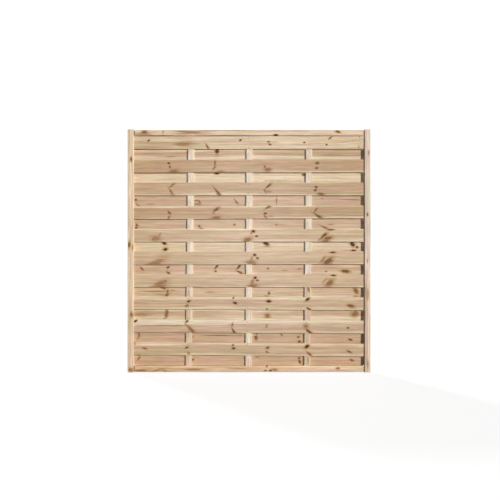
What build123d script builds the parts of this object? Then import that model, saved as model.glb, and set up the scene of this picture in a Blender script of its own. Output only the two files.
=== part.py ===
"""Square slatted fence panel of planed softwood.

A mortise-and-tenon frame holds three upright battens between its rails. Horizontal slats are bradded to both
faces of the battens, those at the back covering the gaps between those at the front, and every slat end is
housed in a stopped groove in a stile. Millimetres, +Z up, front towards -Y, origin at the middle of the foot.
"""

import os
from math import copysign

from build123d import *

# Frame timbers
PANEL_WIDTH = 1800.0
PANEL_HEIGHT = 1800.0
FRAME_DEPTH = 45.0
STILE_WIDTH = 45.0
RAIL_HEIGHT = 45.0
STILE_HORN = 3.0  # stile ends stand this far past the rails
FRAME_EDGE_RADIUS = 3.0

# Slats
SLAT_WIDTH = 95.0
SLAT_THICKNESS = 7.0
SLAT_EDGE_RADIUS = 2.5
SLAT_RAIL_GAP = 1.0  # top front slat to the top rail, bottom back slat to the bottom rail
SLAT_LOWER_LAP = 2.0  # a back slat reaches this far below the top of the front slat under it
SLAT_DROPS = [1.0, 5.0, 5.0, 8.0, 9.0, 7.0, 5.0, 3.0, 6.0, 4.0]  # front slats, top first, below even spacing

# Battens, left to right
BATTEN_WIDTH = 46.0
BATTEN_THICKNESS = 12.0
BATTEN_EDGE_RADIUS = 1.5
BATTEN_LEANS = {"left_batten": 20.0, "middle_batten": 8.0, "right_batten": 15.0}  # foot stands left of head

# Joints between the timbers
GROOVE_DEPTH = 12.0
GROOVE_CLEARANCE = 0.25  # each side of a slat
SLAT_END_GAP = 2.0  # slat end to the bottom of its groove
TENON_THICKNESS = 15.0
TENON_HEIGHT = 30.0
TENON_LENGTH = 30.0
TENON_CLEARANCE = 0.25
TENON_END_GAP = 1.5
SHOULDER_GAP = 4.0  # rail shoulder to the stile, as the joints aren't driven home
HOUSING_DEPTH = 12.0  # batten end in a rail
HOUSING_CLEARANCE = 0.25
HOUSING_END_GAP = 1.0

# Brads, rectangular in section and driven flush
BRAD_WIDTH = 2.2
BRAD_THICKNESS = 1.6
BRAD_LENGTH = 18.0
BRAD_INSET = 13.0  # from a slat's edge
BRAD_OFFSET = 8.0  # front brads left and back brads right of a batten's middle line
CORNER_BRAD_LENGTH = 38.0
CORNER_BRAD_SPACING = 14.0

FRONT, BACK = -1, 1
LEFT, RIGHT = -1, 1

# The opening inside the frame, and what is shared out over it
opening_width = PANEL_WIDTH - 2 * STILE_WIDTH
opening_bottom = STILE_HORN + RAIL_HEIGHT
opening_top = PANEL_HEIGHT - opening_bottom
opening_height = opening_top - opening_bottom
mid_height = PANEL_HEIGHT / 2
top_rail_z = opening_top + RAIL_HEIGHT / 2
bottom_rail_z = opening_bottom - RAIL_HEIGHT / 2

batten_names = list(BATTEN_LEANS)
bay_width = (opening_width - len(batten_names) * BATTEN_WIDTH) / (len(batten_names) + 1)
slats_per_face = len(SLAT_DROPS)
slat_pitch = (opening_height - 2 * SLAT_RAIL_GAP - SLAT_LOWER_LAP) / slats_per_face
slat_length = opening_width + 2 * (GROOVE_DEPTH - SLAT_END_GAP)
slat_middle_y = (BATTEN_THICKNESS + SLAT_THICKNESS) / 2
slat_face_y = BATTEN_THICKNESS / 2 + SLAT_THICKNESS
tenon_reach = TENON_LENGTH - SHOULDER_GAP  # past the stile's inner face


def slat_z(face, row):
    """Middle height of a slat, with row 0 at the top. A back slat is set by the front slat below it."""
    if face == FRONT:
        return opening_top - SLAT_RAIL_GAP - SLAT_WIDTH / 2 - row * slat_pitch - SLAT_DROPS[row]
    rows_below = slats_per_face - 1 - row
    drop = SLAT_DROPS[row + 1] if rows_below else 0
    return opening_bottom + SLAT_RAIL_GAP + SLAT_WIDTH / 2 + rows_below * slat_pitch - drop


def batten_x(name, z):
    """Middle line of a leaning batten at a height."""
    column = batten_names.index(name)
    middle = -opening_width / 2 + (column + 1) * bay_width + (column + 0.5) * BATTEN_WIDTH
    return middle + BATTEN_LEANS[name] * (z - mid_height) / opening_height


def brad(x, z, face_y, length):
    """A brad driven square into the panel from the face at face_y."""
    return Pos(x, face_y - copysign(length / 2, face_y), z) * Box(BRAD_WIDTH, length, BRAD_THICKNESS)


def slat_brads(face, row, name):
    """The two brads that fix one slat to one batten."""
    brads = []
    for edge in (-1, 1):
        z = slat_z(face, row) + edge * (SLAT_WIDTH / 2 - BRAD_INSET)
        brads.append(brad(batten_x(name, z) + face * BRAD_OFFSET, z, face * slat_face_y, BRAD_LENGTH))
    return brads


def joint_brads(side, rail_z):
    """The two brads that lock a rail's tenon in a stile, driven from the back."""
    x = side * (opening_width + tenon_reach) / 2
    return [
        brad(x, rail_z + step * CORNER_BRAD_SPACING / 2, FRAME_DEPTH / 2, CORNER_BRAD_LENGTH)
        for step in (-1, 1)
    ]


def stile(side):
    """An upright of the frame: two stopped grooves for the slat ends, a blind mortise for each rail."""
    section = Pos(side * (PANEL_WIDTH - STILE_WIDTH) / 2, 0) * RectangleRounded(
        STILE_WIDTH, FRAME_DEPTH, FRAME_EDGE_RADIUS
    )
    timber = extrude(section, amount=PANEL_HEIGHT)
    inner_x = side * opening_width / 2
    for face in (FRONT, BACK):
        inner_face = Plane((inner_x, face * slat_middle_y, mid_height), x_dir=(0, 0, 1), z_dir=(side, 0, 0))
        groove = Rectangle(opening_height, SLAT_THICKNESS + 2 * GROOVE_CLEARANCE)
        timber -= extrude(inner_face * groove, amount=GROOVE_DEPTH)
    mortise_depth = tenon_reach + TENON_END_GAP
    mortise = Box(mortise_depth, TENON_THICKNESS + 2 * TENON_CLEARANCE, TENON_HEIGHT + 2 * TENON_CLEARANCE)
    for rail_z in (bottom_rail_z, top_rail_z):
        timber -= Pos(inner_x + side * mortise_depth / 2, 0, rail_z) * mortise
        timber -= joint_brads(side, rail_z)
    return timber


def batten_blank(name, width, thickness, reach):
    """A leaning upright bar that goes reach deep into both rails."""
    foot, head = opening_bottom - reach, opening_top + reach
    foot_x, head_x = batten_x(name, foot), batten_x(name, head)
    outline = Polyline(
        (foot_x - width / 2, foot),
        (foot_x + width / 2, foot),
        (head_x + width / 2, head),
        (head_x - width / 2, head),
        close=True,
    )
    return extrude(Plane.XZ * make_face(outline), amount=thickness / 2, both=True)


def rail(rail_z):
    """A cross member of the frame: a tenon at each end, and a housing for each batten."""
    section = Plane.YZ * RectangleRounded(FRAME_DEPTH, RAIL_HEIGHT, FRAME_EDGE_RADIUS)
    timber = extrude(section, amount=opening_width / 2 - SHOULDER_GAP, both=True)
    timber += Box(opening_width + 2 * tenon_reach, TENON_THICKNESS, TENON_HEIGHT)
    timber = Pos(0, 0, rail_z) * timber
    for name in batten_names:
        timber -= batten_blank(
            name,
            BATTEN_WIDTH + 2 * HOUSING_CLEARANCE,
            BATTEN_THICKNESS + 2 * HOUSING_CLEARANCE,
            HOUSING_DEPTH + HOUSING_END_GAP,
        )
    for side in (LEFT, RIGHT):
        timber -= joint_brads(side, rail_z)
    return timber


def batten(name):
    """An upright between the rails, with rounded long edges and the holes of its brads."""
    timber = batten_blank(name, BATTEN_WIDTH, BATTEN_THICKNESS, HOUSING_DEPTH)
    long_edges = timber.edges().sort_by(SortBy.LENGTH)[-4:]
    timber = fillet(long_edges, BATTEN_EDGE_RADIUS)
    for face in (FRONT, BACK):
        for row in range(slats_per_face):
            timber -= slat_brads(face, row, name)
    return timber


def slat(face, row):
    """A board with rounded long edges and the holes of its brads."""
    section = Plane.YZ * RectangleRounded(SLAT_THICKNESS, SLAT_WIDTH, SLAT_EDGE_RADIUS)
    board = Pos(0, face * slat_middle_y, slat_z(face, row)) * extrude(section, amount=slat_length / 2, both=True)
    for name in batten_names:
        board -= slat_brads(face, row, name)
    return board


def face_brads(face):
    """Every brad of one face, as separate solids."""
    brads = []
    for row in range(slats_per_face):
        for name in batten_names:
            brads += slat_brads(face, row, name)
    return Compound(children=brads)


def corner_brads():
    """Every brad of the frame's four joints, as separate solids."""
    brads = []
    for side in (LEFT, RIGHT):
        for rail_z in (bottom_rail_z, top_rail_z):
            brads += joint_brads(side, rail_z)
    return Compound(children=brads)


nodes = {
    "left_stile": stile(LEFT),
    "right_stile": stile(RIGHT),
    "top_rail": rail(top_rail_z),
    "bottom_rail": rail(bottom_rail_z),
    "front_slat_brads": face_brads(FRONT),
    "back_slat_brads": face_brads(BACK),
    "corner_brads": corner_brads(),
}
for name in batten_names:
    nodes[name] = batten(name)
for row in range(slats_per_face):
    nodes[f"front_slat_{row + 1:02d}"] = slat(FRONT, row)
    nodes[f"back_slat_{row + 1:02d}"] = slat(BACK, row)

os.makedirs("parts", exist_ok=True)
for name, shape in nodes.items():
    export_step(shape, f"parts/{name}.step")
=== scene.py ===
from math import atan2, pi, radians

import bpy
from mathutils import Euler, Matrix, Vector


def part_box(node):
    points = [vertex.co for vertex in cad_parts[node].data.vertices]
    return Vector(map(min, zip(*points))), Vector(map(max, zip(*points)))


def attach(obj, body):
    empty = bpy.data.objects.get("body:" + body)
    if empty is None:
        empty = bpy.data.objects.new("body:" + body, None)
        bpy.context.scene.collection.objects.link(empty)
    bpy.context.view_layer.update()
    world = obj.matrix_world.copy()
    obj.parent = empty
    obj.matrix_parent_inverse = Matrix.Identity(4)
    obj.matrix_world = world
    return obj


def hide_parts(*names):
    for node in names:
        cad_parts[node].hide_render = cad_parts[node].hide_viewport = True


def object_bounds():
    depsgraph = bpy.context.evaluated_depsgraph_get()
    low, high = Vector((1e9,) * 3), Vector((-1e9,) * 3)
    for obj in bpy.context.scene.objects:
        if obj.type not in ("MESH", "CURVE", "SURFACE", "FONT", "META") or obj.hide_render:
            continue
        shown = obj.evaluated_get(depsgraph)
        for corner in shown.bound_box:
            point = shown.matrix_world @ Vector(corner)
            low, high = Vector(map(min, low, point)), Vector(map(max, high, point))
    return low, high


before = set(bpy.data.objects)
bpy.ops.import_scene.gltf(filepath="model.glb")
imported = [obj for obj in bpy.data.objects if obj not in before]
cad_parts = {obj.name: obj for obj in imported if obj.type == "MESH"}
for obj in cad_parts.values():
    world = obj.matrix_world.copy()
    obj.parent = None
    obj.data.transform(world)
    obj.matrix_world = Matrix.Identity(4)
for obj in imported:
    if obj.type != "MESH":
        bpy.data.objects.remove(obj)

cad_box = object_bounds()

# Stiles: the two uprights of the frame, pressure-treated pine planed 45 mm square, with rounded long edges.
# Two stopped grooves in the inner side hold the ends of the slats, and a blind mortise at each end takes a
# rail's tenon.
MM = 0.001
UPRIGHT = Vector((0, 0, 1))
LEVEL = Vector((1, 0, 0))
FRAME_ARRIS = 4.5 * MM
ARRIS_SEGMENTS = 4
FRAME_LENGTHS = 160  # a bar is divided into so many along the grain
GROOVE_DEPTH = 12 * MM
GROOVE_CLEARANCE = 0.25 * MM
MORTISE_DEPTH = 27.5 * MM
MORTISE_THICKNESS = 15.5 * MM
MORTISE_HEIGHT = 30.5 * MM
FRAME_BOW = 1.0 * MM
FRAME_WANE = 0.5 * MM
BOW_REACH = 450 * MM
WANE_REACH = 25 * MM
SQUARE_ON = 0.99  # cosine past which a face counts as facing a direction
SMOOTH_ANGLE = radians(40)


def pick(piece, kind, wanted):
    """Enters edit mode with only the wanted edges or polygons of a piece selected."""
    bpy.ops.object.mode_set(mode="OBJECT")
    for elements in (piece.data.vertices, piece.data.edges, piece.data.polygons):
        elements.foreach_set("select", [False] * len(elements))
    for element in getattr(piece.data, kind):
        element.select = wanted(element)
    bpy.context.tool_settings.mesh_select_mode = (False, kind == "edges", kind == "polygons")
    bpy.ops.object.mode_set(mode="EDIT")


def squared_bar(name, low, high):
    """A bar sawn square between two corners."""
    bpy.ops.object.select_all(action="DESELECT")
    bpy.ops.mesh.primitive_cube_add(size=1, location=(low + high) / 2, scale=high - low)
    bar = bpy.context.object
    bar.name = bar.data.name = name
    bpy.ops.object.transform_apply(location=True, rotation=True, scale=True)
    return bar


def low_corner(piece):
    """The lowest corner of a piece's box, which Blender numbers 0."""
    return Vector(piece.bound_box[0])


def high_corner(piece):
    """The highest corner of a piece's box, which Blender numbers 6."""
    return Vector(piece.bound_box[6])


def plane_bar(bar, grain, arris, lengths):
    """Rounds a bar's edges along the grain, and divides it into lengths so that it can warp."""
    half = (high_corner(bar) - low_corner(bar)).dot(grain) / 2

    def runs_along(edge):
        first, second = (bar.data.vertices[corner].co for corner in edge.vertices)
        return abs((first - second).dot(grain)) > half

    pick(bar, "edges", runs_along)
    bpy.ops.mesh.bevel(offset=arris, segments=ARRIS_SEGMENTS, affect="EDGES")
    pick(bar, "edges", runs_along)
    bpy.ops.mesh.subdivide(number_cuts=lengths - 1)
    bpy.ops.object.mode_set(mode="OBJECT")


def sink(piece, facing, low, high, depth):
    """Cuts a rectangular recess from corner low to corner high into the side that faces a direction."""
    across = [axis for axis in range(3) if not facing[axis]]

    def on_side(face):
        return face.normal.dot(facing) > SQUARE_ON

    def inside(face):
        return on_side(face) and all(low[axis] < face.center[axis] < high[axis] for axis in across)

    for axis in across:
        normal = Vector((axis == 0, axis == 1, axis == 2))
        for corner in (low, high):
            pick(piece, "polygons", on_side)
            bpy.ops.mesh.bisect(plane_co=Vector(corner), plane_no=normal)
    pick(piece, "polygons", inside)
    bpy.ops.mesh.extrude_region_move(TRANSFORM_OT_translate={"value": -depth * facing})
    bpy.ops.object.mode_set(mode="OBJECT")


def season(bar, bow, wane):
    """Lets a bar dry out: a slow bow along its length, and slightly uneven faces and edges."""
    bpy.context.view_layer.objects.active = bar
    for label, reach, strength in (("bow", BOW_REACH, bow), ("wane", WANE_REACH, wane)):
        cloud = bpy.data.textures.new(f"{bar.name}_{label}", "CLOUDS")
        cloud.noise_scale = reach
        for direction in "XYZ":
            warp = bar.modifiers.new(f"{label}_{direction}", "DISPLACE")
            warp.texture = cloud
            warp.texture_coords = "GLOBAL"
            warp.direction = direction
            warp.strength = strength
            bpy.ops.object.modifier_apply(modifier=warp.name)
    bpy.ops.object.shade_smooth_by_angle(angle=SMOOTH_ANGLE)


def copy_of(piece, name):
    """A second piece with a mesh of its own, selected alone."""
    bpy.ops.object.select_all(action="DESELECT")
    second = piece.copy()
    second.data = piece.data.copy()
    second.name = second.data.name = name
    bpy.context.collection.objects.link(second)
    second.select_set(True)
    bpy.context.view_layer.objects.active = second
    return second


stile_low, stile_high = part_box("left_stile")
rail_low, rail_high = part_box("bottom_rail")
front_low, front_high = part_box("front_slat_01")
back_low, back_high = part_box("back_slat_01")
top_rail_low, top_rail_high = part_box("top_rail")
left_stile = squared_bar("left_stile_timber", stile_low, stile_high)
plane_bar(left_stile, UPRIGHT, FRAME_ARRIS, FRAME_LENGTHS)
for slat_low, slat_high in ((front_low, front_high), (back_low, back_high)):
    groove_low = (0, slat_low.y - GROOVE_CLEARANCE, rail_high.z)
    groove_high = (0, slat_high.y + GROOVE_CLEARANCE, top_rail_low.z)
    sink(left_stile, LEVEL, groove_low, groove_high, GROOVE_DEPTH)
for rail_z in ((rail_low.z + rail_high.z) / 2, (top_rail_low.z + top_rail_high.z) / 2):
    mortise_half = Vector((0, MORTISE_THICKNESS / 2, MORTISE_HEIGHT / 2))
    mortise_middle = Vector((0, 0, rail_z))
    sink(left_stile, LEVEL, mortise_middle - mortise_half, mortise_middle + mortise_half, MORTISE_DEPTH)
right_stile = copy_of(left_stile, "right_stile_timber")
right_stile.rotation_euler.z = pi
bpy.ops.object.transform_apply(location=True, rotation=True, scale=True)


def node(tree, kind, inputs=None, **settings):
    """Adds a node. An input is a plain value, or the socket that feeds it."""
    made = tree.nodes.new(kind)
    for key, value in settings.items():
        setattr(made, key, value)
    for key, value in (inputs or {}).items():
        if isinstance(value, bpy.types.NodeSocket):
            tree.links.new(value, made.inputs[key])
        else:
            made.inputs[key].default_value = value
    return made


def calc(tree, operation, *values):
    """One step of arithmetic."""
    return node(tree, "ShaderNodeMath", dict(enumerate(values)), operation=operation).outputs[0]


def scaled(tree, value, times, plus):
    """A value times a number, plus another."""
    return calc(tree, "MULTIPLY_ADD", value, times, plus)


def distance(tree, first, second):
    """How far two steps at right angles lead."""
    square = calc(tree, "MULTIPLY_ADD", first, first, calc(tree, "MULTIPLY", second, second))
    return calc(tree, "SQRT", square)


def step(tree, value, start, end, first, last):
    """A smooth step from first, up to start, to last, from end on."""
    inputs = {"Value": value, "From Min": start, "From Max": end, "To Min": first, "To Max": last}
    return node(tree, "ShaderNodeMapRange", inputs, interpolation_type="SMOOTHSTEP").outputs["Result"]


def clouds(tree, place, per_metre, seed, detail=2.0):
    """Soft noise from 0 to 1, with so many features a metre along each axis."""
    spread = node(tree, "ShaderNodeVectorMath", {0: place, 1: per_metre}, operation="MULTIPLY")
    inputs = {"Vector": spread.outputs["Vector"], "W": seed, "Scale": 1.0, "Detail": detail}
    return node(tree, "ShaderNodeTexNoise", inputs, noise_dimensions="4D").outputs["Fac"]


def blend(tree, first, second, amount, mode="MIX"):
    """Two colours blended by an amount, in the colour sockets of a Mix node."""
    inputs = {0: amount, 6: first, 7: second}
    return node(tree, "ShaderNodeMix", inputs, data_type="RGBA", blend_type=mode).outputs[2]


def grey(tree, value):
    """A grey of a value."""
    return node(tree, "ShaderNodeCombineColor", {"Red": value, "Green": value, "Blue": value}).outputs[0]


def shader_group(name, inputs, outputs):
    """An empty node group: its tree, the sockets that it is given and the sockets that it puts out."""
    tree = bpy.data.node_groups.new(name, "ShaderNodeTree")
    for in_out, sockets in (("INPUT", inputs), ("OUTPUT", outputs)):
        for socket, kind in sockets.items():
            tree.interface.new_socket(socket, in_out=in_out, socket_type=f"NodeSocket{kind}")
    return tree, tree.nodes.new("NodeGroupInput").outputs, tree.nodes.new("NodeGroupOutput").inputs


SLENDER = (2.0, 4.5)  # lengths, in widths, at which a knot starts to flare and at which it flares fully
FLARE = 0.5  # share of its width by which a slender knot widens towards its end
THIN_END = 0.4  # the least share of its width at its start
SWIRL_HALVES = 5 / 3  # radii from a knot's middle at which the grain bends half as far
SWIRL_FALL = 4.0


def knot_group():
    """Keeps the nearest knot so far: distance in its own radii, darkness, and how far grain bends round it.

    A long knot flares from its start to its end, as a branch does on its way out of the trunk.
    """
    found = {"Distance": "Float", "Darkness": "Float", "Swirl": "Float"}
    sizes = ("Along", "Across", "Half Length", "Half Width", "Turn", "Dark")
    inputs = {"Place": "Vector", **dict.fromkeys(sizes, "Float"), **found}
    tree, given, put = shader_group("knot", inputs, found)
    middle = node(tree, "ShaderNodeCombineXYZ", {"X": given["Along"], "Z": given["Across"]})
    turn = node(tree, "ShaderNodeCombineXYZ", {"Y": given["Turn"]})
    half_sizes = {"X": given["Half Length"], "Y": 1.0, "Z": given["Half Width"]}
    radii = node(tree, "ShaderNodeCombineXYZ", half_sizes)
    inputs = {"Vector": given["Place"], "Location": middle.outputs[0]}
    inputs.update({"Rotation": turn.outputs[0], "Scale": radii.outputs[0]})
    mapped = node(tree, "ShaderNodeMapping", inputs, vector_type="TEXTURE").outputs[0]
    local = node(tree, "ShaderNodeSeparateXYZ", {0: mapped}).outputs
    slender = calc(tree, "DIVIDE", given["Half Length"], given["Half Width"])
    slender = step(tree, slender, *SLENDER, 0.0, FLARE)
    flare = calc(tree, "MULTIPLY_ADD", local["X"], slender, 1.0)
    aside = calc(tree, "DIVIDE", local["Z"], calc(tree, "MAXIMUM", flare, THIN_END))
    reach = distance(tree, local["X"], aside)
    nearer = calc(tree, "LESS_THAN", reach, given["Distance"])
    dark = node(tree, "ShaderNodeMix", {0: nearer, 2: given["Darkness"], 3: given["Dark"]}).outputs[0]
    height = node(tree, "ShaderNodeSeparateXYZ", {0: given["Place"]}).outputs["Z"]
    fade = calc(tree, "POWER", calc(tree, "DIVIDE", reach, SWIRL_HALVES), SWIRL_FALL)
    fade = calc(tree, "ADD", fade, 1.0)
    push = calc(tree, "DIVIDE", calc(tree, "SUBTRACT", height, given["Across"]), fade)
    tree.links.new(calc(tree, "MINIMUM", reach, given["Distance"]), put["Distance"])
    tree.links.new(dark, put["Darkness"])
    tree.links.new(calc(tree, "MULTIPLY_ADD", push, given["Dark"], given["Swirl"]), put["Swirl"])
    return tree


# Unevenness of the wood, in features a metre along the grain, through the thickness and across the width
WANDER = (1.3, 2, 2)
BLOOM = (3.5, 22, 22)
STREAKS = (1.6, 60, 60)
LINES = (8, 140, 140)
FIBRES = (12, 700, 700)
PATCHES = (5, 50, 50)
KNOT_OUTLINE = (90, 0, 90)
FINE = 3.0  # octaves of detail

# Growth rings and heartwood
PITH_WANDER = 40 * MM
RING_WOBBLE = 0.7  # in ring widths
LATEWOOD_ONSET = 2.4  # the higher, the later in a year the wood darkens
FAINTEST_YEAR = 0.25
LATEWOOD_DEPTH = 0.8
LATEWOOD_SHADE = (0.70, 0.54, 0.38, 1)
HEART_RAGGED = 16 * MM
HEART_FADE = (5 * MM, 11 * MM)

# Shades along the grain, and the two tints that the preservative left
SHADE_CONTRASTS = (0.62, 0.72, 0.16, 0.34)  # of streaks, lines, fibres and bloom
GREEN_LOSS = 1.2  # a darker streak loses more green and blue than red
BLUE_LOSS = 1.45
PATCH_SEED = 3.7
PATCH_EDGES = (0.36, 0.64)
PINK_PATCH = (1.035, 0.965, 1.01, 1)
GREEN_PATCH = (0.965, 1.01, 0.905, 1)

# Knots, with reaches in radii of the knot
KNOT_UNEVENNESS = (0.7, 0.9)  # of the outline, and of the lines along the grain
KNOT_GAIN = 0.8
DEAD_DARKNESS = (0.55, 1.0)
HALO_EDGES = (0.9, 2.3)
CORE_EDGES = (0.65, 1.2)
RIM_RADIUS = 0.85
RIM_WIDTH = 0.25
RIM_STRENGTH = 0.4
KNOT_RINGS = 24.0
KNOT_RING_DEPTH = 0.3
KNOT_BRIGHTNESS = 0.85
HALO_SHADE = (0.70, 0.51, 0.25, 1)
SOUND_KNOT = (0.26, 0.093, 0.014, 1)
DEAD_KNOT = (0.075, 0.024, 0.005, 1)
KNOT_BARK = (0.030, 0.015, 0.008, 1)
END_GRAIN_SHADE = (0.72, 0.64, 0.54, 1)

# Roughness and relief of fibres, and what hard latewood and knots add to it
PLANED_ROUGHNESS = 0.45
FIBRE_ROUGHNESS = 0.16
LATEWOOD_ROUGHNESS = -0.08
KNOT_ROUGHNESS = 0.4
FIBRE_RELIEF = 0.5
LATEWOOD_RELIEF = 0.6
KNOT_RELIEF = 0.8


def softwood_group():
    """Planed pine right through the board: rings round a pith, heartwood, streaks, fibres and knots."""
    values = ("Distance", "Darkness", "Swirl", "End Grain", "Seed")
    sawn = ("Pith Depth", "Depth Climb", "Pith Height", "Height Climb", "Ring Width", "Heart Radius")
    inputs = {"Place": "Vector", **dict.fromkeys(values + sawn, "Float")}
    inputs.update({"Sapwood": "Color", "Heartwood": "Color"})
    outputs = {"Color": "Color", "Roughness": "Float", "Height": "Float"}
    tree, given, put = shader_group("planed_softwood", inputs, outputs)
    place, seed = given["Place"], given["Seed"]
    wander = clouds(tree, place, WANDER, seed)
    bloom = clouds(tree, place, BLOOM, seed, FINE)
    streak = clouds(tree, place, STREAKS, seed, FINE)
    line = clouds(tree, place, LINES, seed, FINE)
    fibre = clouds(tree, place, FIBRES, seed)
    axes = node(tree, "ShaderNodeSeparateXYZ", {0: place}).outputs

    # Growth rings are tubes round a pith that wanders and climbs along the board
    pith_depth = calc(tree, "MULTIPLY_ADD", axes["X"], given["Depth Climb"], given["Pith Depth"])
    pith_height = calc(tree, "MULTIPLY_ADD", axes["X"], given["Height Climb"], given["Pith Height"])
    across = calc(tree, "SUBTRACT", axes["Z"], calc(tree, "ADD", given["Swirl"], pith_height))
    across = calc(tree, "ADD", across, scaled(tree, wander, PITH_WANDER, -PITH_WANDER / 2))
    radius = distance(tree, across, calc(tree, "SUBTRACT", axes["Y"], pith_depth))
    rings = scaled(tree, streak, RING_WOBBLE, calc(tree, "DIVIDE", radius, given["Ring Width"]))
    year = calc(tree, "ADD", calc(tree, "FLOOR", rings), seed)
    chance = node(tree, "ShaderNodeTexWhiteNoise", {"W": year}, noise_dimensions="1D").outputs["Value"]
    late = calc(tree, "POWER", calc(tree, "FRACT", rings), LATEWOOD_ONSET)
    late = calc(tree, "MULTIPLY", late, scaled(tree, chance, 1 - FAINTEST_YEAR, FAINTEST_YEAR))

    # Heartwood ends at a ragged ring
    past_heart = calc(tree, "SUBTRACT", scaled(tree, streak, HEART_RAGGED, radius), given["Heart Radius"])
    heart = step(tree, past_heart, *HEART_FADE, 1.0, 0.0)
    colour = blend(tree, given["Sapwood"], given["Heartwood"], heart)
    colour = blend(tree, colour, LATEWOOD_SHADE, calc(tree, "MULTIPLY", late, LATEWOOD_DEPTH), "MULTIPLY")

    # Streaks and lines along the grain, in patches that took up more or less of the green preservative
    shade = 1.0
    for noise, contrast in zip((streak, line, fibre, bloom), SHADE_CONTRASTS):
        shade = calc(tree, "MULTIPLY", scaled(tree, noise, contrast, 1 - contrast / 2), shade)
    green = calc(tree, "POWER", shade, GREEN_LOSS)
    blue = calc(tree, "POWER", shade, BLUE_LOSS)
    warm = node(tree, "ShaderNodeCombineColor", {"Red": shade, "Green": green, "Blue": blue}).outputs[0]
    colour = blend(tree, colour, warm, 1.0, "MULTIPLY")
    treated = clouds(tree, place, PATCHES, calc(tree, "ADD", seed, PATCH_SEED), FINE)
    tint = blend(tree, PINK_PATCH, GREEN_PATCH, step(tree, treated, *PATCH_EDGES, 0.0, 1.0))
    colour = blend(tree, colour, tint, 1.0, "MULTIPLY")

    # A knot has a stained halo and a ringed core, orange-brown where it is sound and black where it is dead
    ragged = clouds(tree, place, KNOT_OUTLINE, seed)
    reach = given["Distance"]
    for noise, unevenness in zip((ragged, line), KNOT_UNEVENNESS):
        reach = calc(tree, "ADD", reach, scaled(tree, noise, unevenness, -unevenness / 2))
    strength = calc(tree, "POWER", given["Darkness"], KNOT_GAIN)
    dead = step(tree, given["Darkness"], *DEAD_DARKNESS, 0.0, 1.0)
    halo = calc(tree, "MULTIPLY", step(tree, reach, *HALO_EDGES, 1.0, 0.0), strength)
    core = calc(tree, "MULTIPLY", step(tree, reach, *CORE_EDGES, 1.0, 0.0), strength)
    off_rim = calc(tree, "ABSOLUTE", calc(tree, "SUBTRACT", reach, RIM_RADIUS))
    rim = calc(tree, "MULTIPLY", step(tree, off_rim, 0.0, RIM_WIDTH, RIM_STRENGTH, 0.0), dead)
    growth = calc(tree, "SINE", calc(tree, "MULTIPLY", reach, KNOT_RINGS))
    growth = grey(tree, scaled(tree, growth, KNOT_RING_DEPTH, KNOT_BRIGHTNESS))
    knot_wood = blend(tree, SOUND_KNOT, DEAD_KNOT, dead)
    knot_wood = blend(tree, knot_wood, growth, 1.0, "MULTIPLY")
    colour = blend(tree, colour, HALO_SHADE, halo, "MULTIPLY")
    colour = blend(tree, colour, knot_wood, core)
    colour = blend(tree, colour, KNOT_BARK, rim)
    colour = blend(tree, colour, END_GRAIN_SHADE, given["End Grain"], "MULTIPLY")

    # Hard latewood is smoother than the fibres and stands proud of them, and a knot is rougher and prouder
    rough = scaled(tree, late, LATEWOOD_ROUGHNESS, scaled(tree, fibre, FIBRE_ROUGHNESS, PLANED_ROUGHNESS))
    height = scaled(tree, late, LATEWOOD_RELIEF, calc(tree, "MULTIPLY", fibre, FIBRE_RELIEF))
    tree.links.new(colour, put["Color"])
    tree.links.new(scaled(tree, core, KNOT_ROUGHNESS, rough), put["Roughness"])
    tree.links.new(scaled(tree, core, KNOT_RELIEF, height), put["Height"])
    return tree


KNOT = knot_group()
SOFTWOOD = softwood_group()
WOOD_SPECULAR = 0.3
END_ON = (0.6, 0.9)  # cosines to the grain between which a surface turns to end grain
NO_KNOT = 99.0  # radii to the nearest knot before any is placed
RELIEF_STRENGTH = 0.35
RELIEF_DEPTH = 0.5 * MM


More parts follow.
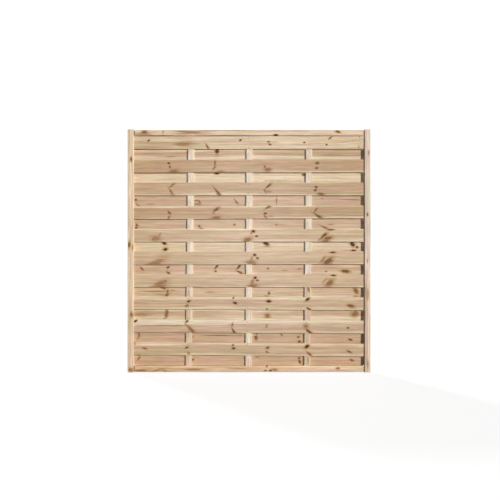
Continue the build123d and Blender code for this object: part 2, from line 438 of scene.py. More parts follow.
def softwood(piece, grain, tone, seed, piths, ring, heart, knots):
    """Gives a bar softwood of its own.

    Grain is the direction of its length. Piths are how far behind the bar's middle, and how far up across
    its width, the tree's centre lies at the bar's start and at its end. Ring is the width of a year's
    growth and heart the radius of the heartwood. A knot is its place along and across the bar from its
    middle, its length and width, the tilt of its length from the grain in degrees, and its darkness.
    Lengths are in millimetres.
    """
    material = bpy.data.materials.new(f"{piece.name}_softwood")
    material.use_nodes = True
    tree = material.node_tree
    shader = tree.nodes["Principled BSDF"]
    shader.inputs["Specular IOR Level"].default_value = WOOD_SPECULAR

    # Board space has X along the grain, Y from front to back and Z across the width
    turn = Euler((0, atan2(grain.z, grain.x), 0))
    middle = turn.to_matrix() @ ((low_corner(piece) + high_corner(piece)) / 2)
    coordinates = node(tree, "ShaderNodeTexCoord").outputs
    inputs = {"Vector": coordinates["Object"], "Location": -middle, "Rotation": turn}
    place = node(tree, "ShaderNodeMapping", inputs).outputs[0]
    inputs = {0: coordinates["Normal"], 1: grain}
    end_on = node(tree, "ShaderNodeVectorMath", inputs, operation="DOT_PRODUCT").outputs["Value"]
    end_grain = step(tree, calc(tree, "ABSOLUTE", end_on), *END_ON, 0.0, 1.0)
    found = {"Distance": NO_KNOT, "Darkness": 0.0, "Swirl": 0.0}
    for along, across, length, width, tilt, dark in knots:
        inputs = {"Place": place, "Along": along * MM, "Across": across * MM, "Turn": -radians(tilt)}
        inputs.update({"Half Length": length * MM / 2, "Half Width": width * MM / 2, "Dark": dark})
        knot = node(tree, "ShaderNodeGroup", {**inputs, **found}, node_tree=KNOT)
        found = {name: knot.outputs[name] for name in found}
    sapwood, heartwood = tone
    inputs = {"Place": place, "End Grain": end_grain, "Seed": seed, **found}
    length = (high_corner(piece) - low_corner(piece)).dot(grain)
    for name, start, end in zip(("Depth", "Height"), *piths):
        inputs[f"Pith {name}"] = (start + end) / 2 * MM
        inputs[f"{name} Climb"] = (end - start) * MM / length
    inputs.update({"Ring Width": ring * MM, "Heart Radius": heart * MM})
    inputs.update({"Sapwood": (*sapwood, 1), "Heartwood": (*heartwood, 1)})
    wood = node(tree, "ShaderNodeGroup", inputs, node_tree=SOFTWOOD, name="wood").outputs
    inputs = {"Strength": RELIEF_STRENGTH, "Distance": RELIEF_DEPTH, "Height": wood["Height"]}
    bump = node(tree, "ShaderNodeBump", inputs)
    tree.links.new(wood["Color"], shader.inputs["Base Color"])
    tree.links.new(wood["Roughness"], shader.inputs["Roughness"])
    tree.links.new(bump.outputs[0], shader.inputs["Normal"])
    piece.data.materials.clear()
    piece.data.materials.append(material)
    return tree


# Tones: the pale sapwood and the darker heartwood of one log
CREAM = ((0.800, 0.640, 0.480), (0.740, 0.550, 0.385))
BONE = ((0.795, 0.670, 0.545), (0.725, 0.580, 0.445))

STILE_PITHS = ((34, 12), (38, 18))
STILE_RING = 3.5
STILE_HEART = 58

# Tone, seed and knots of each stile
STILE_WOOD = {
    "left_stile": (CREAM, 1.3, [
        (678, -4, 32, 14, 0, 0.8), (45, 9, 44, 16, 0, 0.75), (20, -13, 40, 8, 0, 0.5),
        (-472, -8, 34, 19, 0, 0.65), (-880, -3, 28, 26, 0, 0.6),
    ]),
    "right_stile": (BONE, 2.9, [
        (725, -8, 34, 10, 0, 0.5), (269, 2, 24, 13, 0, 0.75), (-79, 3, 40, 9, 0, 0.45),
        (-250, 6, 180, 9, 0, 0.25), (-325, 1, 110, 18, 0, 0.4), (-845, -2, 60, 9, 0, 0.45),
    ]),
}
for stile, stile_name in ((left_stile, "left_stile"), (right_stile, "right_stile")):
    tone, seed, stile_knots = STILE_WOOD[stile_name]
    season(stile, FRAME_BOW, FRAME_WANE)
    softwood(stile, UPRIGHT, tone, seed, STILE_PITHS, STILE_RING, STILE_HEART, stile_knots)
    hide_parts(stile_name)
    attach(stile, "root")


# Rails: the top and bottom of the frame, of the same planed pine as the stiles, which stand just past them.
# A tenon at each end is pinned in a stile. It wasn't driven home, so a dark gap shows beside the shoulders.
# Three housings in the inner side hold the ends of the battens.
TENON_THICKNESS = 15 * MM
TENON_HEIGHT = 30 * MM
TENON_LENGTH = 34 * MM  # 26 mm in the stile and 8 mm across the gap
HOUSING_DEPTH = 13 * MM
HOUSING_CLEARANCE = 0.25 * MM
BATTEN_WIDTH = 46 * MM
BATTENS = ("left_batten", "middle_batten", "right_batten")
PEACH = ((0.835, 0.690, 0.520), (0.790, 0.568, 0.382))

# Tone, seed, piths, ring, heart and knots of each rail; a few long thin marks are painted shade instead
RAILS = {
    "top_rail": (CREAM, 5.1, ((32, 14), (42, 24)), 4.0, 56, [
        (-775, 2, 44, 28, 0, 0.7), (-637, 4, 26, 12, 80, 0.3), (-450, 5, 190, 16, -4, 0.55),
        (-790, -12, 150, 20, 0, 0.4), (-490, -7, 130, 8, 0, 0.4), (-200, 17, 460, 5, 0, 0.35),
        # Three long thin dark marks 20 to 21 mm below the middle are painted shade along the lower edge
        (-700, -20, 300, 5, 0, 0.45), (-200, -21, 500, 4, 0, 0.45), (198, -17, 32, 14, 0, 1.0),
        (400, -21, 300, 4, 0, 0.4), (657, 8, 34, 16, -15, 0.85),
    ]),
    "bottom_rail": (PEACH, 7.7, ((30, -10), (38, 6)), 3.5, 62, [
        (-805, -11, 100, 16, 0, 0.6), (-690, -10, 130, 10, 12, 0.45), (-640, -4, 60, 14, -25, 0.35),
        (-420, -3, 150, 12, 0, 0.4), (-100, 5, 160, 10, -3, 0.3), (131, 18, 16, 10, 30, 0.75),
        (121, -11, 17, 9, 0, 0.85), (159, -10, 20, 12, 10, 0.9), (188, -5, 38, 18, -10, 0.5),
        (657, 5, 28, 16, 0, 0.7),
    ]),
}


def cut_tenon(rail, side):
    """Draws the tenon out of one end of a rail."""
    shoulder = (high_corner(rail).z - low_corner(rail).z - TENON_HEIGHT) / 2
    pick(rail, "polygons", lambda face: face.normal.x * side > SQUARE_ON)
    bpy.ops.mesh.inset(thickness=shoulder)
    bpy.ops.transform.resize(value=(1, TENON_THICKNESS / TENON_HEIGHT, 1))
    bpy.ops.mesh.extrude_region_move(TRANSFORM_OT_translate={"value": (side * TENON_LENGTH, 0, 0)})
    bpy.ops.object.mode_set(mode="OBJECT")


for rail_name, (tone, seed, piths, ring, heart, rail_knots) in RAILS.items():
    low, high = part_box(rail_name)
    shoulders = Vector((TENON_LENGTH, 0, 0))
    rail = squared_bar(f"{rail_name}_timber", low + shoulders, high - shoulders)
    for side in (-1, 1):
        cut_tenon(rail, side)
    plane_bar(rail, LEVEL, FRAME_ARRIS, FRAME_LENGTHS)
    at_top = rail_name == "top_rail"
    for batten_name in BATTENS:
        batten_low, batten_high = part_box(batten_name)
        batten_end = batten_high.x - BATTEN_WIDTH if at_top else batten_low.x
        housing_low = (batten_end - HOUSING_CLEARANCE, batten_low.y - HOUSING_CLEARANCE, 0)
        housing_high = (batten_end + BATTEN_WIDTH + HOUSING_CLEARANCE, batten_high.y + HOUSING_CLEARANCE, 0)
        sink(rail, -UPRIGHT if at_top else UPRIGHT, housing_low, housing_high, HOUSING_DEPTH)
    season(rail, FRAME_BOW, FRAME_WANE)
    softwood(rail, LEVEL, tone, seed, piths, ring, heart, rail_knots)
    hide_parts(rail_name)
    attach(rail, "root")


# Corner brads: square-cut wire nails, two through the back of each frame joint to pin its tenon.
# A brad is stamped from flat steel wire, with a small T head and a chisel point, and driven almost flush.
BACK = 1
BRAD_WIDTH = 2.2 * MM
BRAD_THICKNESS = 1.6 * MM
BRAD_HEAD = 3.4 * MM
HEAD_DEPTH = 0.8 * MM
HEAD_PROUD = 0.15 * MM
HEAD_ARRIS = 0.2 * MM
HEAD_SEGMENTS = 2
HEAD_FLARE = 1.15
POINT_SHARE = 0.3
CORNER_BRAD_SPACING = 14 * MM
STEEL_GREY = (0.24, 0.20, 0.17, 1)
STEEL_METALLIC = 0.7
STEEL_ROUGHNESS = 0.42
RUST_BROWN = (0.15, 0.075, 0.035, 1)
RUST_ROUGHNESS = 0.77
RUST_SPOTS = (900, 900, 900)
RUST_EDGES = (0.45, 0.65)
RUST_SEED = 3.0


def brad_steel():
    """Dull bare steel wire, browned by rust in spots."""
    material = bpy.data.materials.new("brad_wire_steel")
    material.use_nodes = True
    tree = material.node_tree
    shader = tree.nodes["Principled BSDF"]
    shader.inputs["Metallic"].default_value = STEEL_METALLIC
    place = node(tree, "ShaderNodeTexCoord").outputs["Object"]
    rust = step(tree, clouds(tree, place, RUST_SPOTS, RUST_SEED), *RUST_EDGES, 0.0, 1.0)
    rough = scaled(tree, rust, RUST_ROUGHNESS - STEEL_ROUGHNESS, STEEL_ROUGHNESS)
    tree.links.new(blend(tree, STEEL_GREY, RUST_BROWN, rust), shader.inputs["Base Color"])
    tree.links.new(rough, shader.inputs["Roughness"])
    return material


def forge_brad(length):
    """One brad with its head at the origin and its point towards +Y."""
    half = Vector((BRAD_WIDTH / 2, 0, BRAD_THICKNESS / 2))
    brad = squared_bar("brad", Vector((0, HEAD_DEPTH, 0)) - half, Vector((0, length, 0)) + half)
    pick(brad, "polygons", lambda face: face.normal.y > SQUARE_ON)
    bpy.ops.transform.resize(value=(1, 1, POINT_SHARE))
    pick(brad, "polygons", lambda face: face.normal.y < -SQUARE_ON)
    bpy.ops.mesh.extrude_region_move(TRANSFORM_OT_translate={"value": (0, 0, 0)})
    bpy.ops.transform.resize(value=(BRAD_HEAD / BRAD_WIDTH, 1, HEAD_FLARE))
    bpy.ops.mesh.extrude_region_move(TRANSFORM_OT_translate={"value": (0, -HEAD_DEPTH - HEAD_PROUD, 0)})
    bpy.ops.mesh.bevel(offset=HEAD_ARRIS, segments=HEAD_SEGMENTS, affect="EDGES")
    bpy.ops.object.mode_set(mode="OBJECT")
    bpy.ops.object.shade_smooth_by_angle(angle=SMOOTH_ANGLE)
    brad.data.materials.append(BRAD_STEEL)
    return brad


def drive_brads(brad, brad_node, places, side):
    """Copies of a brad driven in at places, from the front or the back."""
    driven = []
    for number, spot in enumerate(places):
        copy = copy_of(brad, f"{brad_node}_{number}")
        copy.location = spot
        copy.rotation_euler.z = pi if side == BACK else 0
        bpy.ops.object.transform_apply(location=True, rotation=True, scale=True)
        driven.append(copy)
    for copy in driven:
        copy.select_set(True)
    bpy.context.view_layer.objects.active = driven[0]
    bpy.ops.object.join()
    brads = bpy.context.object
    brads.name = brads.data.name = f"{brad_node}_steel"
    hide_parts(brad_node)
    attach(brads, "root")


BRAD_STEEL = brad_steel()
low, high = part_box("corner_brads")
corner_places = []
for x in (low.x + BRAD_WIDTH / 2, high.x - BRAD_WIDTH / 2):
    for rail_name in RAILS:
        rail_low, rail_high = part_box(rail_name)
        for step_up in (-0.5, 0.5):
            z = (rail_low.z + rail_high.z) / 2 + step_up * CORNER_BRAD_SPACING
            corner_places.append(Vector((x, high.y, z)))
corner_brad = forge_brad(high.y - low.y)
drive_brads(corner_brad, "corner_brads", corner_places, BACK)
bpy.data.objects.remove(corner_brad)


# Battens: three uprights of clean white sapwood, planed 46 by 12 mm, that carry the slats. They were set
# by eye, so each leans a little to the right, and their ends stand in housings in the rails.
BATTEN_ARRIS = 1.5 * MM
BATTEN_LENGTHS = 150
BATTEN_BOW = 0.5 * MM
BATTEN_WANE = 0.3 * MM
BATTEN_RING = 3.0
BATTEN_HEART = 44
IVORY = ((0.820, 0.710, 0.590), (0.700, 0.530, 0.370))

# Seed, piths and knots of each batten
BATTEN_WOOD = {
    "left_batten": (11, ((20, 4), (74, 10)), []),
    "middle_batten": (12, ((36, 0), (90, 10)), []),
    "right_batten": (13, ((16, 0), (70, 12)), [(-287, -5, 34, 13, 10, 0.65), (-822, -5, 60, 6, 3, 0.5)]),
}

for batten_name, (seed, piths, batten_knots) in BATTEN_WOOD.items():
    low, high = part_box(batten_name)
    lean = high.x - low.x - BATTEN_WIDTH
    batten = squared_bar(f"{batten_name}_timber", low, high - Vector((lean, 0, 0)))
    pick(batten, "polygons", lambda face: face.normal.z > SQUARE_ON)
    bpy.ops.transform.translate(value=(lean, 0, 0))
    bpy.ops.object.mode_set(mode="OBJECT")
    plane_bar(batten, UPRIGHT, BATTEN_ARRIS, BATTEN_LENGTHS)
    season(batten, BATTEN_BOW, BATTEN_WANE)
    grain = Vector((lean, 0, high.z - low.z)).normalized()
    softwood(batten, grain, IVORY, seed, piths, BATTEN_RING, BATTEN_HEART, batten_knots)
    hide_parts(batten_name)
    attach(batten, "root")


# Back slats: ten pine boards planed 95 by 7 mm, bradded to the backs of the battens to close the front's
# gaps. Their ends stand loose in the stiles' rear grooves, and iron from the brads has stained the damp
# wood round each of them.
# Along each edge of every slat, back and front, a paler band is a painted highlight.
SLAT_ARRIS = 2.5 * MM
SLAT_LENGTHS = 180
SLAT_BOW = 1.2 * MM
SLAT_WANE = 0.5 * MM
BRAD_INSET = 13 * MM
BRAD_OFFSET = 8 * MM
STAIN_RADIUS = 2.6 * MM
STAIN_FADE = 0.6  # in radii, to both sides of the stain's edge
STAIN_BLACK = (0.10, 0.075, 0.06, 1)
# Painted highlight: each slat is paled in a band of this width along both edges, by this tint
HIGHLIGHT_BAND = 7 * MM
EDGE_HIGHLIGHT = (1.12, 1.16, 1.22, 1)
BACK_SEED = 20
BACK_SEED_STEP = 1.7
TAN = ((0.770, 0.640, 0.460), (0.590, 0.410, 0.255))
STRAW = ((0.755, 0.610, 0.425), (0.610, 0.440, 0.275))
ROSE = ((0.790, 0.675, 0.515), (0.630, 0.440, 0.300))
AMBER = ((0.720, 0.570, 0.400), (0.620, 0.428, 0.278))
HONEY = ((0.790, 0.665, 0.490), (0.640, 0.465, 0.300))

# Rise, tone, piths, ring, heart and knots of each back slat, from the top down
BACK_SLATS = [
    (3, TAN, ((30, 0), (30, 4)), 4.5, 39, [(-596, -21, 60, 5, 0, 0.3), (-239, 20, 36, 26, 90, 0.9)]),
    (0, STRAW, ((70, -35), (70, -20)), 5.0, 40, [(-240, 27, 32, 17, 0, 1.0), (407, 15, 26, 18, 0, 0.85)]),
    (5, ROSE, ((45, 5), (45, 12)), 4.0, 75, [
        (-843, 3, 14, 13, 0, 0.9), (-832, -34, 40, 12, -40, 0.4), (-741, -31, 60, 8, 0, 0.3),
        (-394, -4, 24, 8, 0, 0.6), (-371, -11, 28, 10, -48, 0.65), (-382, -30, 44, 18, 0, 0.3),
        (-98, -10, 46, 11, -52, 0.6), (204, -10, 56, 8, 88, 0.45), (543, 11, 18, 7, 0, 0.5),
        (742, 3, 150, 6, 0, 0.35),
    ]),
    (0, ROSE, ((45, 3), (45, 7)), 4.0, 65, [
        (-836, -15, 22, 13, -45, 0.75), (-841, -36, 15, 13, 30, 0.85), (-371, -24, 18, 13, -30, 0.75),
        (-356, -40, 28, 9, 0, 0.55), (-109, -13, 16, 11, 0, 0.65), (204, -12, 18, 9, 0, 0.65),
        (208, -12, 120, 4, 0, 0.3), (601, -11, 44, 5, 0, 0.55), (562, -34, 64, 14, -26, 0.6),
    ]),
    (3, STRAW, ((75, 30), (75, 20)), 5.0, 40, [
        (-631, 16, 32, 18, -20, 1.0), (-622, -28, 32, 22, 15, 1.0), (127, 14, 40, 20, -20, 0.95),
        (130, -3, 44, 10, 0, 0.5), (770, 10, 42, 28, -40, 0.92), (803, -12, 17, 15, 0, 0.85),
        (777, -37, 30, 12, 0, 0.9),
    ]),
    (-3, AMBER, ((45, 20), (45, 18)), 3.5, 67, [
        (-798, -3, 28, 12, -45, 0.75), (-603, 6, 20, 12, 35, 0.95), (-599, -36, 30, 13, -40, 0.75),
        (-242, 11, 36, 12, 48, 0.9), (-249, -23, 14, 11, -20, 0.9), (-76, 11, 40, 13, 48, 0.9),
        (-68, -31, 50, 15, -24, 0.8), (141, -2, 16, 12, 0, 0.75), (262, -16, 40, 8, 0, 0.3),
        (374, -5, 26, 8, 10, 0.4), (573, -23, 11, 9, 0, 0.8), (715, -23, 58, 22, -8, 0.8),
    ]),
    (-8, HONEY, ((50, -10), (50, 0)), 4.5, 66, [
        (-640, 20, 44, 10, -15, 0.7), (-715, -4, 185, 7, 0, 0.6), (-606, -4, 26, 13, 70, 0.7),
        (-612, -31, 30, 16, 30, 0.74), (-572, 5, 34, 6, -10, 0.45), (-665, -28, 100, 6, -6, 0.35),
        (-300, -12, 80, 10, 0, 0.25), (148, -18, 15, 18, 0, 0.8), (125, -38, 36, 8, 0, 0.3),
        (795, 0, 44, 26, -60, 0.7), (790, -40, 24, 12, 0, 0.4),
    ]),
    (-8, TAN, ((30, 3), (30, 3)), 4.5, 39, [
        (-614, 3, 50, 20, 82, 0.65), (-630, -34, 16, 8, 0, 0.55), (-810, -8, 100, 30, 0, 0.2),
        (136, -11, 36, 26, 0, 0.6), (786, -2, 46, 34, 0, 0.6), (806, 6, 14, 14, 0, 0.7),
        (790, 22, 40, 12, -30, 0.5),
    ]),
    (-12, AMBER, ((42, 0), (42, 4)), 3.5, 75, [
        (-820, 16, 30, 10, -70, 0.7), (-826, -8, 34, 9, 70, 0.45), (-418, 0, 20, 14, 60, 0.4),
        (-250, 7, 215, 6, 0, 0.6), (-77, 11, 60, 6, 0, 0.3), (51, -9, 20, 30, 0, 0.75),
        (55, 20, 12, 22, 0, 0.55), (241, 13, 22, 9, -50, 0.7), (367, -3, 20, 11, 0, 0.8),
        (375, -37, 20, 14, 0, 0.9), (753, -23, 28, 11, -15, 0.85),
    ]),
    (0, AMBER, ((42, -6), (42, -2)), 3.5, 72, [
        (-820, 29, 18, 10, 0, 0.9), (-822, 2, 32, 9, 55, 0.7), (-417, -6, 13, 13, 45, 0.9),
        (58, 14, 28, 7, 0, 0.45), (372, 5, 17, 12, 0, 0.8), (377, -22, 24, 14, -60, 0.9),
        (763, -9, 26, 12, -20, 0.8),
    ]),
]


def brad_places(slat_node, side):
    """Where brads fix a slat: beside each batten's middle line, in from both edges of the slat's face."""
    low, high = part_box(slat_node)
    face_y = high.y if side == BACK else low.y
    places = []
    for batten_name in BATTENS:
        batten_low, batten_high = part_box(batten_name)
        lean = batten_high.x - batten_low.x - BATTEN_WIDTH
        for z in (low.z + BRAD_INSET, high.z - BRAD_INSET):
            rise = (z - batten_low.z) / (batten_high.z - batten_low.z)
            x = batten_low.x + BATTEN_WIDTH / 2 + lean * rise + side * BRAD_OFFSET
            places.append(Vector((x, face_y, z)))
    return places


def stain_group():
    """A blue-black iron stain round the brads of one batten, in a slat's own board space."""
    inputs = {"Place": "Vector", "Along": "Float", "Across": "Float", "Stain": "Float"}
    tree, given, put = shader_group("brad_stain", inputs, {"Stain": "Float"})
    axes = node(tree, "ShaderNodeSeparateXYZ", {0: given["Place"]}).outputs
    along = calc(tree, "SUBTRACT", axes["X"], given["Along"])
    across = calc(tree, "SUBTRACT", calc(tree, "ABSOLUTE", axes["Z"]), given["Across"])
    inner, outer = (1 - STAIN_FADE) * STAIN_RADIUS, (1 + STAIN_FADE) * STAIN_RADIUS
    stain = step(tree, distance(tree, across, along), inner, outer, 1.0, 0.0)
    tree.links.new(calc(tree, "MAXIMUM", stain, given["Stain"]), put["Stain"])
    return tree


STAIN = stain_group()


def stain_and_highlight(slat, tree, places):
    """Darkens a slat's wood round its brads, and paints a paler band along its edges as a painted
    highlight.
    """
    middle = (low_corner(slat) + high_corner(slat)) / 2
    shader = tree.nodes["Principled BSDF"]
    place = tree.nodes["Mapping"].outputs[0]
    stain = 0.0
    for lower, upper in zip(places[::2], places[1::2]):
        inputs = {"Place": place, "Along": (lower.x + upper.x) / 2 - middle.x}
        inputs.update({"Across": (upper.z - lower.z) / 2, "Stain": stain})
        stain = node(tree, "ShaderNodeGroup", inputs, node_tree=STAIN).outputs[0]
    across = node(tree, "ShaderNodeSeparateXYZ", {0: place}).outputs["Z"]
    half = (high_corner(slat) - low_corner(slat)).z / 2
    # Painted highlight: a paler band along each edge
    edge = step(tree, calc(tree, "ABSOLUTE", across), half - HIGHLIGHT_BAND, half - SLAT_ARRIS, 0.0, 1.0)
    colour = blend(tree, tree.nodes["wood"].outputs["Color"], EDGE_HIGHLIGHT, edge, "MULTIPLY")
    colour = blend(tree, colour, STAIN_BLACK, stain)
    tree.links.new(colour, shader.inputs["Base Color"])


first_low, first_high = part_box("back_slat_01")
board = squared_bar("slat_board", first_low, first_high)
plane_bar(board, LEVEL, SLAT_ARRIS, SLAT_LENGTHS)


def lay_slat(slat_node, side, lift, seed, rise, tone, piths, ring, heart, slat_knots):
    """A copy of the planed board, moved to a slat's place, warped and dressed. Gives its brads' places.

    Lift, in metres, is how far the slat was pushed up as it was nailed on. Rise, in millimetres, is how
    far it climbs to the right, as it wasn't nailed on quite level.
    """
    low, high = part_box(slat_node)
    slat = copy_of(board, f"{slat_node}_board")
    slat.location = low - first_low + lift * UPRIGHT
    bpy.ops.object.transform_apply(location=True, rotation=True, scale=True)
    climb = atan2(rise * MM, high.x - low.x)
    pick(slat, "polygons", lambda face: True)
    bpy.ops.transform.rotate(value=climb, orient_axis="Y", center_override=(low + high) / 2)
    bpy.ops.object.mode_set(mode="OBJECT")
    season(slat, SLAT_BOW, SLAT_WANE)
    tree = softwood(slat, LEVEL, tone, seed, piths, ring, heart, slat_knots)
    places = brad_places(slat_node, side)
    stain_and_highlight(slat, tree, places)
    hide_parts(slat_node)
    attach(slat, "root")
    return places


back_places = []
for row, slat_wood in enumerate(BACK_SLATS, start=1):
    seed = BACK_SEED + BACK_SEED_STEP * row
    back_places += lay_slat(f"back_slat_{row:02d}", BACK, 0.0, seed, *slat_wood)
low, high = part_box("back_slat_brads")
slat_brad = forge_brad(high.y - low.y)
drive_brads(slat_brad, "back_slat_brads", back_places, BACK)


# Front slats: ten more of the same boards, bradded to the fronts of the battens with a gap below each, and
# pushed up a little towards the top rail as they were nailed on. Sister boards from one log lie next to
# each other, so their knots line up from slat to slat.
FRONT = -1
FRONT_LIFT = 1.0 * MM
FRONT_SEED = 40
FRONT_SEED_STEP = 1.9
UMBER = ((0.760, 0.630, 0.450), (0.570, 0.378, 0.222))

# Rise, tone, piths, ring, heart and knots of each front slat, from the top down
FRONT_SLATS = [
    (0, STRAW, ((40, -17), (54, 13)), 4.5, 52, [
        (-745, 14, 20, 10, 30, 0.95), (-495, -13, 110, 26, 0, 0.35), (-312, -26, 44, 11, -60, 0.7),
        (-65, 16, 18, 11, 35, 1.0), (143, 6, 16, 11, 20, 0.8), (154, -14, 19, 11, -25, 0.95),
        (409, 0, 13, 10, 0, 0.9), (575, -15, 13, 10, 0, 1.0), (601, 34, 30, 11, 38, 0.75),
        (814, -32, 18, 8, 90, 0.4), (819, 42, 14, 8, 90, 0.3),
    ]),
    (3, UMBER, ((40, 11), (40, 39)), 4.0, 82, [
        (-596, 20, 16, 12, 0, 0.85), (-588, -7, 12, 14, 0, 0.85), (-560, -38, 60, 18, 0, 0.5),
        (-254, 18, 40, 10, 85, 0.6), (-259, -14, 34, 10, 55, 0.6), (-215, -40, 60, 12, 0, 0.35),
        (116, -5, 14, 10, -40, 0.8), (138, -27, 46, 22, 0, 0.5), (505, 21, 22, 16, 10, 0.8),
        (500, -16, 18, 12, 10, 0.9),
    ]),
    (0, TAN, ((45, 25), (45, 35)), 4.0, 84, [
        (-571, 27, 60, 11, 40, 0.6), (-583, -14, 54, 11, -57, 0.65), (-240, -16, 78, 12, -50, 0.72),
        (-226, -40, 40, 14, -20, 0.5), (143, 22, 62, 12, 42, 0.78), (118, -17, 24, 11, -60, 0.6),
        (144, -20, 40, 14, 0, 0.3), (497, 13, 18, 14, -30, 0.85), (490, -10, 18, 13, 15, 0.9),
        (530, -37, 44, 18, -10, 0.65),
    ]),
    (5, UMBER, ((45, -6), (45, 4)), 4.0, 61, [
        (-591, -3, 28, 13, -50, 0.75), (-595, -38, 24, 12, 60, 0.55), (-247, 17, 46, 15, 33, 0.76),
        (-263, -6, 20, 8, -25, 0.5), (-245, -40, 60, 18, 0, 0.5), (137, 35, 52, 13, 30, 0.65),
        (120, -9, 20, 12, 5, 0.86), (119, -30, 26, 11, -35, 0.7), (155, -28, 40, 10, 0, 0.25),
        (490, 12, 34, 8, 50, 0.75), (507, -24, 68, 14, -32, 0.75),
    ]),
    (0, HONEY, ((45, -2), (45, 8)), 4.5, 62, [
        (-690, -22, 66, 34, 0, 0.4), (-715, -28, 30, 9, -55, 0.55), (-664, 0, 30, 10, 60, 0.4),
        (-12, -32, 62, 30, 15, 0.55), (32, 30, 23, 18, -10, 0.95), (18, 17, 24, 12, 45, 0.45),
        (55, -7, 18, 12, 10, 0.85), (607, 43, 40, 13, 8, 0.85), (550, -6, 70, 17, 42, 0.8),
        (584, -21, 62, 24, 10, 0.7), (560, -42, 70, 9, 0, 0.75),
    ]),
    (3, HONEY, ((48, 6), (45, 16)), 4.5, 71, [
        (-690, -30, 120, 30, 15, 0.4), (-690, -38, 60, 14, 0, 0.5), (41, 23, 21, 17, 0, 1.0),
        (61, -1, 18, 13, -10, 0.8), (14, -32, 64, 28, 0, 0.4), (20, -4, 30, 16, 75, 0.35),
        (42, -44, 30, 8, 0, 0.5), (619, 42, 38, 11, 5, 1.0), (588, -22, 70, 34, 35, 0.72),
        (548, -11, 50, 18, 50, 0.42), (620, -24, 30, 10, 60, 0.4),
    ]),
    (-3, HONEY, ((48, 6), (45, 16)), 4.5, 71, [
        (-620, -6, 20, 14, 70, 0.65), (-665, -22, 96, 26, 18, 0.5), (-660, -38, 90, 14, 8, 0.5),
        (45, 21, 22, 15, 10, 0.95), (61, 3, 18, 11, 0, 0.85), (25, -8, 50, 20, 65, 0.4),
        (24, -35, 70, 22, 0, 0.5), (3, -38, 26, 8, -15, 0.5), (625, 40, 36, 11, 0, 1.0),
        (600, -15, 62, 34, 35, 0.65), (556, -3, 50, 10, 45, 0.35),
    ]),
    (-8, TAN, ((26, -1), (28, -1)), 4.0, 41, [
        (-448, 15, 24, 13, 20, 0.95), (-462, -17, 22, 14, 40, 0.6), (-117, 40, 20, 9, 50, 0.85),
        (-104, 2, 26, 15, -15, 1.0), (146, 14, 32, 18, 0, 0.95), (132, -42, 16, 10, 0, 0.75),
        (433, 29, 36, 17, 35, 1.0), (441, -40, 34, 12, -32, 0.85), (752, -18, 46, 20, -10, 0.75),
    ]),
    (-8, ROSE, ((28, -16), (28, -2)), 4.0, 41, [
        (-842, 43, 32, 15, 35, 1.0), (-640, 7, 400, 5, 0, 0.45), (-463, 38, 32, 12, 50, 0.85),
        (-436, -16, 74, 20, -43, 0.6), (-418, -38, 24, 12, -40, 0.7), (-125, 14, 26, 12, 80, 0.6),
        (-117, -30, 42, 12, -58, 0.85), (131, 11, 16, 7, 0, 0.55), (130, -2, 16, 8, 30, 0.6),
        (420, 3, 36, 30, 0, 0.5), (440, -33, 48, 15, -36, 0.86), (733, -9, 20, 11, 0, 0.8),
    ]),
    (-12, STRAW, ((28, -4), (28, -5)), 4.0, 44, [
        (-850, 42, 14, 20, 0, 0.4), (-775, 6, 30, 10, -12, 0.8), (-462, 14, 26, 12, 20, 0.85),
        (-447, -30, 20, 11, -45, 0.6), (-120, 32, 16, 10, 40, 0.9), (-115, 7, 23, 13, 0, 1.0),
        (137, 12, 25, 12, 10, 0.95), (134, -20, 22, 10, -20, 0.75), (428, 20, 36, 20, 35, 1.0),
        (446, -35, 44, 13, -42, 0.75), (741, -17, 32, 11, -24, 0.8),
    ]),
]

front_places = []
for row, slat_wood in enumerate(FRONT_SLATS, start=1):
    seed = FRONT_SEED + FRONT_SEED_STEP * row
    front_places += lay_slat(f"front_slat_{row:02d}", FRONT, FRONT_LIFT, seed, *slat_wood)
drive_brads(slat_brad, "front_slat_brads", front_places, FRONT)
for pattern in (board, slat_brad):
    bpy.data.objects.remove(pattern)


# Floor: a plain pale studio floor, one wide painted sheet at the height of the stiles' feet. A glow that
# only the camera sees stands in for even light, so that the panel stands on white with a soft shadow at
# its foot.
FLOOR_SIZE = 40.0
FLOOR_GREY = 0.2
FLOOR_GLOW = 0.86
FLOOR_ROUGHNESS = 0.9
FLOOR_SPECULAR = 0.1

bpy.ops.object.select_all(action="DESELECT")
bpy.ops.mesh.primitive_plane_add(size=FLOOR_SIZE)
floor = bpy.context.object
floor.name = floor.data.name = "studio_floor"
paint = bpy.data.materials.new("pale_floor_paint")
paint.use_nodes = True
paint_shader = paint.node_tree.nodes["Principled BSDF"]
paint_shader.inputs["Base Color"].default_value = (FLOOR_GREY, FLOOR_GREY, FLOOR_GREY, 1)
paint_shader.inputs["Roughness"].default_value = FLOOR_ROUGHNESS
paint_shader.inputs["Specular IOR Level"].default_value = FLOOR_SPECULAR
paint_shader.inputs["Emission Color"].default_value = (1, 1, 1, 1)
seen = node(paint.node_tree, "ShaderNodeLightPath").outputs["Is Camera Ray"]
glow = calc(paint.node_tree, "MULTIPLY", seen, FLOOR_GLOW)
paint.node_tree.links.new(glow, paint_shader.inputs["Emission Strength"])
floor.data.materials.append(paint)


# Light: a warm lamp low in front on the right, small enough to leave narrow dark shadows beside the battens
# and slats. A softer one behind on the left is nearly as bright, and a faint one hangs overhead. The studio
# all round is seen as white and adds hardly any light.
WARM_WHITE = (1.0, 0.98, 0.95)
PURE_WHITE = (1.0, 1.0, 1.0)
STRIP_WIDTH = 0.3
STRIP_HEIGHT = 3.0
STRIP_POWER = 150
STRIP_PLACE = (0.0, -2.5, 0.85)
STUDIO_FILL = 0.02
STUDIO_BACKDROP = 1.25
STUDIO_WHITE = (0.86, 0.93, 1, 1)

bpy.context.scene.view_settings.view_transform = "Standard"


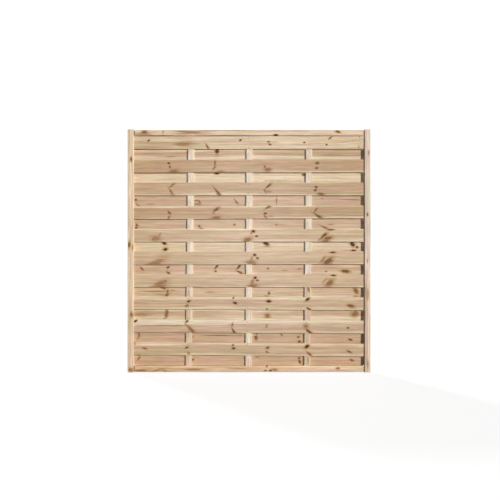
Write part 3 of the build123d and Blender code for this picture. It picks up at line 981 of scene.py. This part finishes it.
def lamp(name, towards, strength, colour, spread):
    """A far lamp in a direction from the panel, with a spread in degrees that softens its shadows."""
    light = bpy.data.lights.new(name, "SUN")
    light.energy = strength
    light.color = colour
    light.angle = radians(spread)
    stand = bpy.data.objects.new(name, light)
    stand.rotation_euler = Vector(towards).to_track_quat("Z", "Y").to_euler()
    bpy.context.collection.objects.link(stand)


lamp("front_lamp", towards=(0.95, -1, 0.38), strength=3.44, colour=WARM_WHITE, spread=1.5)
lamp("ceiling_lamp", towards=(0.1, -0.3, 1), strength=0.3, colour=PURE_WHITE, spread=50)
lamp("rear_lamp", towards=(-0.6, 1, 0.8), strength=3.0, colour=WARM_WHITE, spread=12)

# A tall strip lamp in front adds only its sheen, down the middle of the panel
strip = bpy.data.lights.new("strip_lamp", "AREA")
strip.shape = "RECTANGLE"
strip.size = STRIP_WIDTH
strip.size_y = STRIP_HEIGHT
strip.energy = STRIP_POWER
strip_stand = bpy.data.objects.new("strip_lamp", strip)
strip_stand.location = STRIP_PLACE
strip_stand.rotation_euler = (pi / 2, 0, 0)
strip_stand.visible_camera = False
strip_stand.visible_diffuse = False
bpy.context.collection.objects.link(strip_stand)

studio = bpy.data.worlds.new("white_studio")
bpy.context.scene.world = studio
studio.use_nodes = True
seen = node(studio.node_tree, "ShaderNodeLightPath").outputs["Is Camera Ray"]
backdrop = studio.node_tree.nodes["Background"]
brightness = scaled(studio.node_tree, seen, STUDIO_BACKDROP - STUDIO_FILL, STUDIO_FILL)
studio.node_tree.links.new(brightness, backdrop.inputs["Strength"])
backdrop.inputs["Color"].default_value = STUDIO_WHITE


# Camera: level and square on to the front, five metres away, a hair to the right of the panel's middle and
# above it. Its lens takes in 3.7 metres at the panel's front.
CAMERA_DISTANCE = 5.0
CAMERA_ASIDE = 6.7 * MM
CAMERA_HEIGHT = 906.7 * MM
SENSOR_WIDTH = 36.0
VIEW_WIDTH = 3.70

lens = bpy.data.cameras.new("camera")
lens.sensor_width = SENSOR_WIDTH
lens.lens = SENSOR_WIDTH * CAMERA_DISTANCE / VIEW_WIDTH
camera = bpy.data.objects.new("camera", lens)
camera.location = (CAMERA_ASIDE, cad_box[0].y - CAMERA_DISTANCE, CAMERA_HEIGHT)
camera.rotation_euler = (pi / 2, 0, 0)
bpy.context.collection.objects.link(camera)
bpy.context.scene.camera = camera
